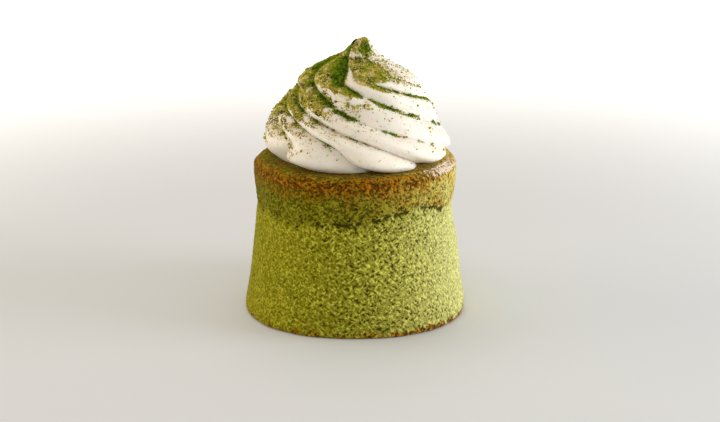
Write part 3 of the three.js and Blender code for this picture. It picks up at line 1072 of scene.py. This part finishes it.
    def make(self) -> bpy.types.Object:
        """Builds, dresses and places the cream."""
        swirl = self.surface()
        top = self.crest_outline[-1][1]
        centre, tip = (self.axis(np.array([rise]))[0] + [0.0, 0.0, self.seat + rise] for rise in (0.0, top))
        skin = Skin(swirl.rings, centre, tip)
        still = ramp(0.5, 3.0, swirl.rise) * (1.0 - ramp(34.0, 39.0, swirl.rise))
        wobble = self.wobble * rough_noise(swirl.rings / 7.0, self.seed, 2) * still
        skin.rings = swirl.rings + skin.normals() * wobble[..., None]
        dust, drift = self.dusting(skin, swirl)
        self.dust = DustedSkin(skin.rings, skin.normals(), dust, drift)
        base = mix(centre, skin.rings[0], 1.0 - self.bottom_shrink)
        skin.rings = np.concatenate([base[None], skin.rings])
        marks = {"dust": dust, "drift": drift}
        marks = {name: np.concatenate([values[:1], values]) for name, values in marks.items()}
        thing = skin.build("cream_swirl", marks)
        thing.data.materials.append(CreamFinish().material())
        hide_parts(self.node)
        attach(thing, "root")
        return thing


@dataclass(frozen=True)
class DustedSkin:
    """The cream's surface as the powder sees it: places, normals and the cover of powder on them."""

    rings: Array
    normals: Array
    veil: Array
    drift: Array


class GrainShape(Enum):
    """The two closed shapes that grains are made from, as corner points and triangles."""

    FINE = "octahedron"
    CLUMP = "icosahedron"

    def corners(self) -> Array:
        """Corner points at a distance of 1 from the middle."""
        if self is GrainShape.FINE:
            return np.concatenate([np.eye(3), -np.eye(3)])
        golden = (1.0 + math.sqrt(5.0)) / 2.0
        pairs = [(a, b * golden) for a in (-1.0, 1.0) for b in (-1.0, 1.0)]
        points = [(0, a, b) for a, b in pairs] + [(a, b, 0) for a, b in pairs] + [(b, 0, a) for a, b in pairs]
        return np.array(points) / math.hypot(1.0, golden)

    def triangles(self) -> Array:
        """Outward triangles: every three corners that are all at the shortest corner distance."""
        corners = self.corners()
        gap = np.linalg.norm(corners[:, None] - corners[None], axis=-1)
        near = gap < gap[gap > 0].min() * 1.01
        found = []
        for a, b, c in np.argwhere(near[:, :, None] & near[None] & near[:, None, :]):
            if a < b < c:
                outward = np.dot(np.cross(corners[b] - corners[a], corners[c] - corners[a]), corners[a]) > 0
                found.append((a, b, c) if outward else (a, c, b))
        return np.array(found)


@dataclass
class TeaPowder:
    """Loose tea powder on the cream: many small grains of one kind, joined in one mesh.

    Attributes:
        name: The piece's name.
        shape: The shape that the grains are made from.
        count: How many grains there are.
        size: The middle grain's radius in millimetres.
        spread: How unequal the radii are.
        seed: Another seed scatters them otherwise.
        limits: The smallest and the largest radius, as shares of the middle one.
        stand: How far a grain's middle stands off the cream, as a share of its radius.
        heaping: How many times as much lies in a full drift as in a full veil.
    """

    name: str
    shape: GrainShape
    count: int
    size: float
    spread: float
    seed: int
    limits: Pair = (0.5, 2.2)
    stand: float = 0.3
    heaping: float = 3.5

    def scatter(self, cream: DustedSkin, rng: np.random.Generator) -> tuple[Array, Array, Array]:
        """Picks a place for each grain, with a chance that grows with the cell's area and its powder.

        Args:
            cream: The surface to lie on.
            rng: The seeded random numbers.

        Returns:
            Places, normals and drift cover, one for each grain.
        """
        beside = np.roll(cream.rings, -1, axis=1)
        sideways, upwards = beside[:-1] - cream.rings[:-1], cream.rings[1:] - cream.rings[:-1]
        area = np.linalg.norm(np.cross(sideways, upwards), axis=-1)
        up = np.clip(cream.normals[:-1, :, 2], 0.0, 1.0)
        bare = ramp(-0.1, 0.5, rough_noise(cream.rings[:-1] / 2.5, self.seed, 2))
        thick = bare * cream.veil[:-1] ** 1.5 + self.heaping * cream.drift[:-1] ** 1.5
        loose = mix(0.010, 0.035, ramp(8.0, 22.0, cream.rings[:-1, :, 2] - cream.rings[0, 0, 2]))
        chance = area * (thick + loose * ramp(0.0, 0.5, up))
        chance *= cream.rings[:-1, :, 2] < cream.rings[..., 2].max() - 0.8
        total = np.cumsum(chance.ravel())
        picked = np.searchsorted(total, rng.random(self.count) * total[-1])
        row, column = np.unravel_index(picked, chance.shape)
        across, along = rng.random((2, self.count, 1))
        low = mix(cream.rings[row, column], beside[row, column], across)
        high = mix(cream.rings[row + 1, column], beside[row + 1, column], across)
        return mix(low, high, along), cream.normals[row, column], cream.drift[row, column]

    def turns(self, rng: np.random.Generator) -> Array:
        """Random turns as matrices, worked out from unit quaternions."""
        w, x, y, z = np.moveaxis(rng.normal(size=(self.count, 4)), -1, 0)
        size = np.sqrt(w * w + x * x + y * y + z * z)
        w, x, y, z = w / size, x / size, y / size, z / size
        first = np.stack([1 - 2 * (y * y + z * z), 2 * (x * y - w * z), 2 * (x * z + w * y)], axis=-1)
        second = np.stack([2 * (x * y + w * z), 1 - 2 * (x * x + z * z), 2 * (y * z - w * x)], axis=-1)
        third = np.stack([2 * (x * z - w * y), 2 * (y * z + w * x), 1 - 2 * (x * x + y * y)], axis=-1)
        return np.stack([first, second, third], axis=1)

    def make(self, cream: DustedSkin) -> bpy.types.Object:
        """Builds, dresses and places the grains.

        Args:
            cream: The surface to lie on.

        Returns:
            The joined grains.
        """
        rng = np.random.default_rng(self.seed)
        places, normals, drift = self.scatter(cream, rng)
        corners, triangles = self.shape.corners(), self.shape.triangles()
        radius = self.size * np.exp(self.spread * rng.normal(size=self.count))
        radius = np.clip(radius, *(share * self.size for share in self.limits))[:, None, None]
        lumpy = corners[None] * rng.uniform(0.7, 1.2, (self.count, len(corners), 1))
        lumpy = lumpy * rng.uniform(0.65, 1.0, (self.count, 1, 3))
        grains = np.einsum("nij,nkj->nki", self.turns(rng), lumpy) * radius
        grains += places[:, None] + normals[:, None] * radius * self.stand
        faces = (triangles[None] + np.arange(self.count)[:, None, None] * len(corners)).reshape(-1, 3)
        thing = mesh_object(self.name, grains.reshape(-1, 3), faces, np.zeros((0, 4), int))
        tint = 0.9 + 0.9 * rough_noise(places / 1.5, self.seed + 9, 2) + 0.2 * rng.normal(size=self.count)
        tint = np.clip(tint - 0.5 * drift, 0.0, 1.0)
        for key, values in (("tint", tint), ("drift", drift)):
            add_attribute(thing, key, np.repeat(values, len(corners)))
        thing.data.materials.append(TeaFinish().material())
        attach(thing, "root")
        return thing


@dataclass(frozen=True)
class Lamp:
    """One square area light that faces the cake.

    Attributes:
        name: The light's name.
        bearing: Its bearing round the cake.
        rise: Its angle above the cake.
        distance: Its distance from the cake in metres.
        size: The side of the square in metres.
        power: Its power in watts.
        tone: Its colour.
    """

    name: str
    bearing: float
    rise: float
    distance: float
    size: float
    power: float
    tone: Colour

    def hang(self, aim: float) -> None:
        """Hangs the light so that it faces the cake's axis at a height in metres."""
        data = bpy.data.lights.new(self.name, "AREA")
        data.size, data.energy, data.color = self.size, self.power, self.tone
        light = bpy.data.objects.new(self.name, data)
        turn, lift = math.radians(self.bearing), math.radians(self.rise)
        level, up = self.distance * math.cos(lift), self.distance * math.sin(lift)
        light.location = (level * math.sin(turn), -level * math.cos(turn), aim + up)
        light.rotation_euler = (math.radians(90.0) - lift, 0.0, turn)
        bpy.context.scene.collection.objects.link(light)


@dataclass
class Studio:
    """A plain white floor, soft lights and the camera.

    Lengths are in metres, but for the lens in millimetres, and angles are in degrees.
    """

    camera_distance: float = 0.382
    camera_height: float = 0.148
    camera_pitch: float = 16.88
    camera_turn: float = -0.25
    lens: float = 58.45
    floor_size: float = 6.0
    seen_tone: Colour = (1.0, 1.0, 1.0)
    felt_tone: Colour = (1.0, 0.88, 0.70)
    felt_strength: float = 0.55
    aim_height: float = 0.06
    lamps: tuple[Lamp, ...] = (
        Lamp("key", 82.0, 5.0, 0.75, 0.40, 4.5, (0.97, 0.99, 1.0)),
        Lamp("top", 200.0, 70.0, 0.8, 0.7, 1.5, (1.0, 0.97, 0.93)),
        Lamp("fill", -95.0, 12.0, 0.9, 0.6, 3.2, (1.0, 0.83, 0.60)),
    )

    def floor(self) -> bpy.types.Object:
        """Lays the floor plane just under the cake."""
        half = self.floor_size / 2.0 / MM
        corners = half * np.array([[-1, -1, 0], [1, -1, 0], [1, 1, 0], [-1, 1, 0]])
        floor = mesh_object("floor", corners, np.zeros((0, 3), int), np.array([[0, 1, 2, 3]]))
        floor.data.materials.append(FloorFinish().material())
        return floor

    def camera(self) -> None:
        """Sets the camera at the photograph's viewing angle."""
        data = bpy.data.cameras.new("view")
        data.lens = self.lens
        data.clip_start = 0.01
        camera = bpy.data.objects.new("view", data)
        camera.location = (0.0, -self.camera_distance, self.camera_height)
        camera.rotation_euler = (math.radians(90.0 - self.camera_pitch), 0.0, math.radians(self.camera_turn))
        bpy.context.scene.collection.objects.link(camera)
        bpy.context.scene.camera = camera

    def world(self) -> None:
        """Surrounds the scene with white for the camera and a dimmer warm white for the light."""
        world = bpy.data.worlds.new("studio")
        world.use_nodes = True
        nodes, links = world.node_tree.nodes, world.node_tree.links
        nodes.clear()
        seen, felt = nodes.new("ShaderNodeBackground"), nodes.new("ShaderNodeBackground")
        seen.inputs["Color"].default_value = (*self.seen_tone, 1.0)
        felt.inputs["Color"].default_value = (*self.felt_tone, 1.0)
        felt.inputs["Strength"].default_value = self.felt_strength
        path, choose = nodes.new("ShaderNodeLightPath"), nodes.new("ShaderNodeMixShader")
        output = nodes.new("ShaderNodeOutputWorld")
        links.new(path.outputs["Is Camera Ray"], choose.inputs["Fac"])
        links.new(felt.outputs["Background"], choose.inputs[1])
        links.new(seen.outputs["Background"], choose.inputs[2])
        links.new(choose.outputs["Shader"], output.inputs["Surface"])
        bpy.context.scene.world = world

    def make(self) -> None:
        """Sets up the floor, the camera, the lights and the plain colour transform."""
        self.floor()
        self.camera()
        self.world()
        for lamp in self.lamps:
            lamp.hang(self.aim_height)
        bpy.context.scene.view_settings.view_transform = "Standard"


def report(thing: bpy.types.Object) -> None:
    """Logs a finished piece."""
    LOG.info("%s: %d vertices, %d faces", thing.name, len(thing.data.vertices), len(thing.data.polygons))


def main() -> None:
    """Builds the studio and the pieces in order and reports each."""
    logging.basicConfig(level=logging.INFO, format="%(message)s")
    Studio().make()
    LOG.info("studio: floor, camera and lights")
    cream = WhippedCream()
    report(SpongeCake().make())
    report(cream.make())
    report(TeaPowder("tea_grains", GrainShape.FINE, 11000, 0.18, 0.35, 5).make(cream.dust))
    report(TeaPowder("tea_clumps", GrainShape.CLUMP, 3600, 0.32, 0.30, 6).make(cream.dust))


if __name__ == "__main__":
    main()
